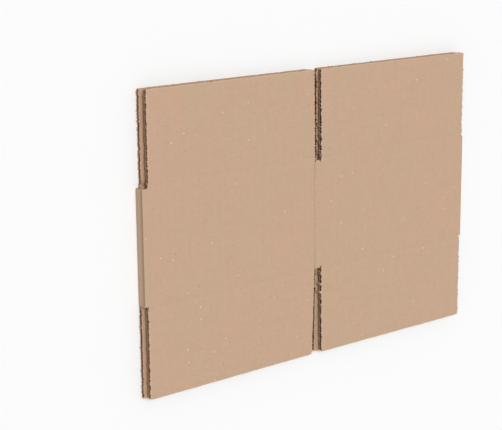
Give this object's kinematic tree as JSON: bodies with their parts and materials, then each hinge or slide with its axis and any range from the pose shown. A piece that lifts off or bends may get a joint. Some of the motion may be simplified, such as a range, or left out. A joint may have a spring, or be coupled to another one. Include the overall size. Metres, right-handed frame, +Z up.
{
  "type": "flattened cardboard box",
  "caption": "Slotted corrugated box knocked flat: folded over at both ends, glued by an inner tab, with open slots between its upper and lower flaps.",
  "frame": {"origin": "on the surface that the flat box lies on, under the middle of its outline", "axes": "+X along the folded length, from the left folded edge to the right one; +Y along the height of the walls, which is the way the flutes run; +Z up through the two layers of board"},
  "size_m": [0.309, 0.213, 0.0084],
  "materials": {
    "kraft_board": "matte"
  },
  "bodies": {
    "root": {"flattened_box": "kraft_board"}
  },
  "joints": []
}
